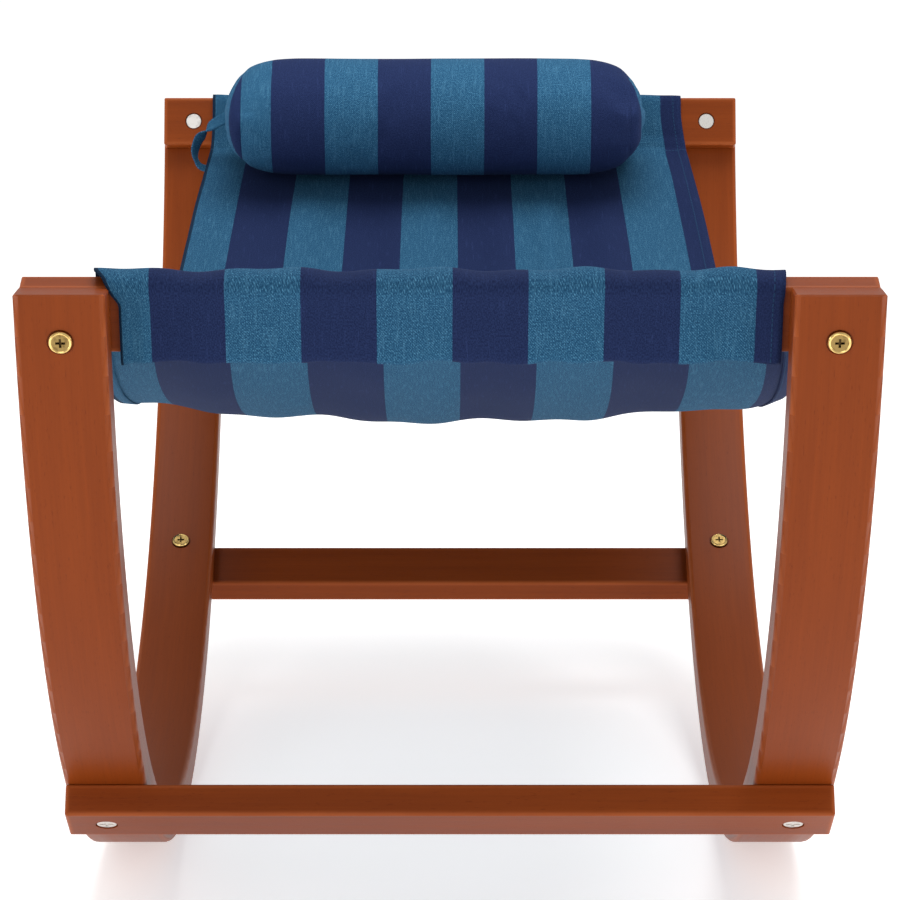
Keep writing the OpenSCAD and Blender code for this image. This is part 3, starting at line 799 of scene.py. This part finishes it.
sling = sling_strip("striped_sling", [FLAT_W * j / COLS for j in range(COLS + 1)], row_at)
hem_rows = [s for s in row_at if POCKET_LEN + 16 * MM < s < CLOTH_LEN - POCKET_LEN - 16 * MM]
hem_flats = [j * HEM_W / 4 for j in range(5)]
left_hem = sling_strip("left_side_hem", hem_flats, hem_rows, HEM_DROP, HEM_T)
right_hem = sling_strip("right_side_hem", [FLAT_W - HEM_W + flat for flat in hem_flats], hem_rows,
                        HEM_DROP, HEM_T)
sling_material = sling_cloth("striped_sling_canvas", SEAM_FRONT + 4 * MM, SEAM_REAR - 4 * MM)
for piece, nodes in ((sling, ("sling_panel", "front_pocket", "rear_pocket")), (left_hem, ("left_hem",)),
                     (right_hem, ("right_hem",))):
    piece.data.materials.append(sling_material)
    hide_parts(*nodes)
    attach(piece, "stand_and_sling")


# ------------------------------------------------------------------ bolster pillow

cover_low, cover_high = (Vector(corner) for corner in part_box("pillow_cover"))
ends_low, ends_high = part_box("pillow_left_cap")[0][0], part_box("pillow_right_cap")[1][0]
PILLOW_X = (ends_low + ends_high) / 2
PILLOW_HALF = (ends_high - ends_low) / 2
PILLOW_Y, PILLOW_Z = (cover_low.y + cover_high.y) / 2, (cover_low.z + cover_high.z) / 2
PILLOW_R = (cover_high.z - cover_low.z) / 2
PILLOW_STRIPE = 59.4 * MM
PILLOW_BORDER = 33 * MM                        # from the left end seam to the first border
LEFT_SEAM, RIGHT_SEAM = 22.5 * MM, 19.5 * MM   # from the pillow's ends

PILLOW_SKIN = 1.7 * MM
FILLING_IN = 2.4 * MM                          # from the cover's outer face to the filling
START_LEN, START_GIRTH = 0.992, 0.975          # scale of the form before it is inflated
PUFF_FRAMES = 20
MOST_PUFF = 3.5 * MM

# Radius near an end against the distance from it, in mm: over and under, and in front and behind
FULL_RADIUS = 68.6
TALL_END = [(0, 12), (1.5, 22), (3, 27), (8, 39.5), (16, 50), (27, 58.8), (40, 63.8), (57, 67.4),
            (80, FULL_RADIUS)]
WIDE_END = [(0, 46), (1.5, 54), (4, 60), (9, 64.5), (16, 66.6), (27, 67.8), (40, 68.2), (57, 68.5),
            (80, FULL_RADIUS)]


def read_curve(table, x):
    for (x0, y0), (x1, y1) in zip(table, table[1:]):
        if x <= x1:
            return mix(y0, y1, (x - x0) / (x1 - x0))
    return table[-1][1]


def bolster_radius(d, angle):
    """Radius at d from the nearer end. angle is 0 in front and 90 degrees on top."""
    wide = math.cos(angle) ** 2
    return mix(read_curve(TALL_END, d / MM), read_curve(WIDE_END, d / MM), wide) / FULL_RADIUS * PILLOW_R


def from_seams(x):
    """Distances of x from the left and the right end seam."""
    return x + PILLOW_HALF - LEFT_SEAM, PILLOW_HALF - RIGHT_SEAM - x


def bolster_start():
    """The closed form of the bolster, lying along X round the origin."""
    around = 128
    stations = [0, 1.5, 3, 5, 8, 12, 16, 21, 27, 34, 42, 50, 60, 72]
    stations += [72 + (PILLOW_HALF / MM - 72) * i / 24 for i in range(1, 25)]
    stations = [d * MM for d in stations]
    rings = [(-PILLOW_HALF + d, d) for d in stations] + [(PILLOW_HALF - d, d) for d in stations[-2::-1]]
    points, faces = [], []
    for x, d in rings:
        for k in range(around):
            angle = 2 * math.pi * k / around
            r = bolster_radius(d, angle)
            points.append((x, -r * math.cos(angle), r * math.sin(angle)))
    for i in range(len(rings) - 1):
        for k in range(around):
            k2 = (k + 1) % around
            faces.append((i * around + k, i * around + k2, (i + 1) * around + k2, (i + 1) * around + k))
    for first, x in ((0, -PILLOW_HALF), ((len(rings) - 1) * around, PILLOW_HALF)):
        inner = len(points)
        for k in range(around):
            points.append((x * 1.004, points[first + k][1] * 0.5, points[first + k][2] * 0.5))
        points.append((x * 1.006, 0, 0))
        for k in range(around):
            k2 = (k + 1) % around
            faces.append((first + k, inner + k, inner + k2, first + k2))
            faces.append((inner + k, inner + around, inner + k2))
    piece = make_piece("bolster_form", points, faces)
    face_outwards(piece)
    return piece


def puff(piece, cap):
    """Inflates the form as cloth, and lets no point move more than cap."""
    mesh = piece.data
    before = [v.co.copy() for v in mesh.vertices]
    seams = piece.vertex_groups.new(name="seams")
    for v in mesh.vertices:
        pull = max(bump(off, 0, 5 * MM) for off in from_seams(v.co.x))
        if pull > 0.02:
            seams.add([v.index], pull, "REPLACE")
    cloth = piece.modifiers.new("puff", "CLOTH")
    for key, value in (("quality", 5), ("mass", 0.3), ("use_pressure", True), ("uniform_pressure_force", 4),
                       ("tension_stiffness", 40), ("compression_stiffness", 30), ("shear_stiffness", 12),
                       ("bending_stiffness", 0.4), ("vertex_group_shrink", "seams"), ("shrink_min", 0.0),
                       ("shrink_max", 0.13)):
        setattr(cloth.settings, key, value)
    cloth.settings.effector_weights.gravity = 0
    cloth.point_cache.frame_start, cloth.point_cache.frame_end = 1, PUFF_FRAMES
    for number in range(1, PUFF_FRAMES + 1):
        scene.frame_set(number)
    result = piece.evaluated_get(bpy.context.evaluated_depsgraph_get())
    after = [v.co.copy() for v in result.to_mesh().vertices]
    result.to_mesh_clear()
    piece.modifiers.remove(cloth)
    scene.frame_set(1)
    for v, old, new in zip(mesh.vertices, before, after):
        move = new - old
        if move.length > cap:
            move *= cap / move.length
        v.co = old + move


def make_bolster():
    form = bolster_start()
    for v in form.data.vertices:
        v.co = Vector((v.co.x * START_LEN, v.co.y * START_GIRTH, v.co.z * START_GIRTH))
    apply_modifier(form, "REMESH", mode="VOXEL", voxel_size=5 * MM, use_smooth_shade=True)
    mesh = form.data
    # Where each point was before the simulation, for the stripes and the light rims
    rest = mesh.attributes.new("rest_place", "FLOAT_VECTOR", "POINT")
    for i, v in enumerate(mesh.vertices):
        rest.data[i].vector = v.co
    puff(form, MOST_PUFF)
    girths = [math.hypot(v.co.y, v.co.z) for v in mesh.vertices if abs(v.co.x) < 0.5 * PILLOW_HALF]
    fuller = 0.998 * PILLOW_R / (sum(girths) / len(girths))
    longer = PILLOW_HALF / max(abs(v.co.x) for v in mesh.vertices)
    for v in mesh.vertices:
        v.co = Vector((v.co.x * longer, v.co.y * fuller, v.co.z * fuller))
    # Seam grooves, crumpled right end and soft unevenness
    for v in mesh.vertices:
        groove = 1.1 * MM * max(bump(off, 0, 3.5 * MM) for off in from_seams(v.co.x))
        outwards = Vector((0, v.co.y, v.co.z))
        angle = math.atan2(v.co.z, -v.co.y)
        crumple = bump(v.co.x, PILLOW_HALF - 14 * MM, 26 * MM) * (0.5 + 0.5 * math.sin(angle * 2 + 1.0))
        fold = crumple * 2.3 * MM * math.sin(9 * angle + 0.6 * math.sin(3 * angle))
        soft = noise.noise(Vector((v.co.x * 12, angle * 1.4, 2.0))) * 0.9 * MM
        if outwards.length > 20 * MM:
            v.co += outwards.normalized() * (fold + soft - groove)
    apply_modifier(form, "SUBSURF", levels=1, render_levels=1)
    return form


def mark_rims(shape):
    """Marks the light blue rims of the end pieces: above 0 inside a rim."""
    rest = shape.verts.layers.float_vector["rest_place"]
    rim = shape.verts.layers.float.new("rim")
    for v in shape.verts:
        place = v[rest]
        angle = math.atan2(place.z, -place.y)
        d = PILLOW_HALF * START_LEN - abs(place.x)
        if place.x < 0:
            edge = (19 - 15.5 * math.cos(angle) ** 2) * MM
        else:
            edge = mix(1.0, 19, max(0.0, math.sin(angle)) ** 2) * MM
        v[rim] = edge - d


def lay_out_cloth(shape, flat_ends):
    """Gives the cloth's own place of each corner, in metres: rolled off, or seen from the end."""
    rest = shape.verts.layers.float_vector["rest_place"]
    layer = shape.loops.layers.uv.new("cloth")
    for face in shape.faces:
        places = [loop.vert[rest] for loop in face.loops]
        angles = [math.atan2(place.z, -place.y) for place in places]
        wrap = max(angles) - min(angles) > math.pi
        for loop, place, angle in zip(face.loops, places, angles):
            if wrap and angle < 0:
                angle += 2 * math.pi
            if flat_ends and abs(place.x) > PILLOW_HALF - 6 * MM:
                loop[layer].uv = (place.z, place.y)
            else:
                loop[layer].uv = (place.x + PILLOW_HALF - LEFT_SEAM, angle * PILLOW_R)


def cut_bolster(form, name, low, high, inward=0.0):
    """The bolster between two planes across it: a shell of cloth, or the body inside it at inward."""
    shape = bmesh.new()
    shape.from_mesh(form.data)
    if inward:
        bmesh.ops.recalc_face_normals(shape, faces=shape.faces)
        shape.normal_update()
        for v in shape.verts:
            v.co -= v.normal * inward
    for x, keep in ((low, 1), (high, -1)):
        if x is not None:
            bmesh.ops.bisect_plane(shape, geom=shape.verts[:] + shape.edges[:] + shape.faces[:], dist=1e-6,
                                   plane_co=(x, 0, 0), plane_no=(keep, 0, 0), clear_inner=True)
    mark_rims(shape)
    lay_out_cloth(shape, flat_ends=name != "bolster_cover")
    piece = bpy.data.objects.new(name, bpy.data.meshes.new(name))
    shape.to_mesh(piece.data)
    shape.free()
    scene.collection.objects.link(piece)
    for polygon in piece.data.polygons:
        polygon.use_smooth = True
    if not inward:
        apply_modifier(piece, "SOLIDIFY", thickness=PILLOW_SKIN, offset=-1.0, use_even_offset=False)
    for v in piece.data.vertices:
        v.co += Vector((PILLOW_X, PILLOW_Y, PILLOW_Z))
    return piece


form = make_bolster()
face_outwards(form)
left_cut, right_cut = -PILLOW_HALF + LEFT_SEAM, PILLOW_HALF - RIGHT_SEAM
cover = cut_bolster(form, "bolster_cover", left_cut, right_cut)
left_end = cut_bolster(form, "bolster_left_end", None, left_cut)
right_end = cut_bolster(form, "bolster_right_end", right_cut, None)
filling = cut_bolster(form, "bolster_filling", None, None, inward=FILLING_IN)
apply_modifier(filling, "DECIMATE", ratio=0.25)
bpy.data.objects.remove(form)
stripe_material = pillow_cloth("striped_bolster_canvas", False)
end_material = pillow_cloth("bolster_end_canvas", True)
for piece, node, material, slot in (
        (cover, "pillow_cover", stripe_material, "pillow_cloth"),
        (left_end, "pillow_left_cap", end_material, "pillow_cloth"),
        (right_end, "pillow_right_cap", end_material, "pillow_cloth"),
        (filling, "pillow_filling", fibre_fill(), "filling")):
    piece.data.materials.clear()
    piece.data.materials.append(material)
    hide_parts(node)
    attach(piece, "pillow")


# ------------------------------------------------------------------ strap

STRAP_W, STRAP_T = 14 * MM, 1.5 * MM
ALONG_SPAN, ACROSS_BAND = 7, 6                 # steps between two places, and across the band
# Middle of the band in mm, from the pillow's end to below the sling, and the direction across it
STRAP = [((-232, 684, 622), (0.25, 0.2, 0.95)), ((-246, 688, 620), (0.3, 0.2, 0.93)),
         ((-259, 692, 615), (0.45, 0.2, 0.87)), ((-274, 695, 606), (0.65, 0.15, 0.74)),
         ((-285, 697, 594), (0.8, 0.2, 0.55)), ((-290.5, 699, 581), (0.6, 0.7, 0.4)),
         ((-290, 700, 569), (0.1, 0.93, 0.37)), ((-284, 700, 560), (0, 0.93, 0.37)),
         ((-268, 700, 557), (0, 0.93, 0.37)), ((-250, 700, 556.2), (0, 0.93, 0.37)),
         ((-230, 700, 555.4), (0, 0.93, 0.37))]


def make_strap():
    centres = [Vector(p) * MM for p, w in STRAP]
    widths = [Vector(w) for p, w in STRAP]
    padded = [centres[0]] + centres + [centres[-1]]
    samples = []
    for i in range(len(centres) - 1):
        for k in range(ALONG_SPAN):
            t = k / ALONG_SPAN
            samples.append((on_curve(*padded[i:i + 4], t), widths[i].lerp(widths[i + 1], t)))
    samples.append((centres[-1], widths[-1]))
    points, places, run = [], [], 0.0
    for i, (middle, across) in enumerate(samples):
        if i:
            run += (middle - samples[i - 1][0]).length
        ahead = samples[min(len(samples) - 1, i + 1)][0] - samples[max(0, i - 1)][0]
        across = (across - ahead * across.dot(ahead) / ahead.length_squared).normalized()
        out = ahead.cross(across).normalized()
        for j in range(ACROSS_BAND + 1):
            t = j / ACROSS_BAND - 0.5
            points.append(middle + across * STRAP_W * t + out * 0.5 * MM * math.cos(t * math.pi))
            places.append((STRAP_W * (t + 0.5), run))
    piece = make_piece("pillow_strap_band", points, grid_faces(len(samples), ACROSS_BAND + 1), places)
    apply_modifier(piece, "SOLIDIFY", thickness=STRAP_T, offset=0.0)
    return piece


strap = make_strap()
strap.data.materials.append(plain_cloth("light_blue_strap_canvas", STRAP_W))
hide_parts("pillow_strap")
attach(strap, "pillow")


# ------------------------------------------------------------------ floor and light

FLOOR_GLOW = 0.52
FILL_LIGHT = 0.58                              # what the surroundings give, where the camera sees 1.0

nothing_selected()
bpy.ops.mesh.primitive_plane_add(size=30, location=(0, 0, 0))
floor = bpy.context.object
floor.name = "floor"
floor_material, b, shader = new_material("pale_floor")
shader.inputs["Base Color"].default_value = (0.9, 0.9, 0.9, 1)
shader.inputs["Roughness"].default_value = 0.95
shader.inputs["Specular IOR Level"].default_value = 0.0
shader.inputs["Emission Color"].default_value = (1, 1, 1, 1)
shader.inputs["Emission Strength"].default_value = FLOOR_GLOW
floor.data.materials.append(floor_material)

world = bpy.data.worlds.new("studio")
scene.world = world
world.use_nodes = True
sky = world.node_tree.nodes["Background"]
sky.inputs["Color"].default_value = (1, 1, 1, 1)
b = Bench(world.node_tree)
seen = b.put("ShaderNodeLightPath").outputs["Is Camera Ray"]
b.feed(sky.inputs["Strength"], b.math("MULTIPLY_ADD", seen, 1 - FILL_LIGHT, FILL_LIGHT))


def soft_light(name, place, target, size, power):
    """A round light that faces target. size is in metres and power in watts."""
    data = bpy.data.lights.new(name, "AREA")
    data.shape = "DISK"
    data.size = size
    data.energy = power
    light = bpy.data.objects.new(name, data)
    light.location = place
    light.rotation_euler = (Vector(target) - Vector(place)).to_track_quat("-Z", "Y").to_euler()
    scene.collection.objects.link(light)


soft_light("high_softbox", (0.3, 0.1, 3.6), (0, 0, 0.4), 2.8, 84)
for side in (-1, 1):
    soft_light("low_softbox", (side * 2.3, -1.3, 0.75), (0, 0.5, 0.25), 1.3, 7)
soft_light("front_softbox", (-0.8, -3.6, 2.0), (0, 0, 0.4), 2.0, 12)
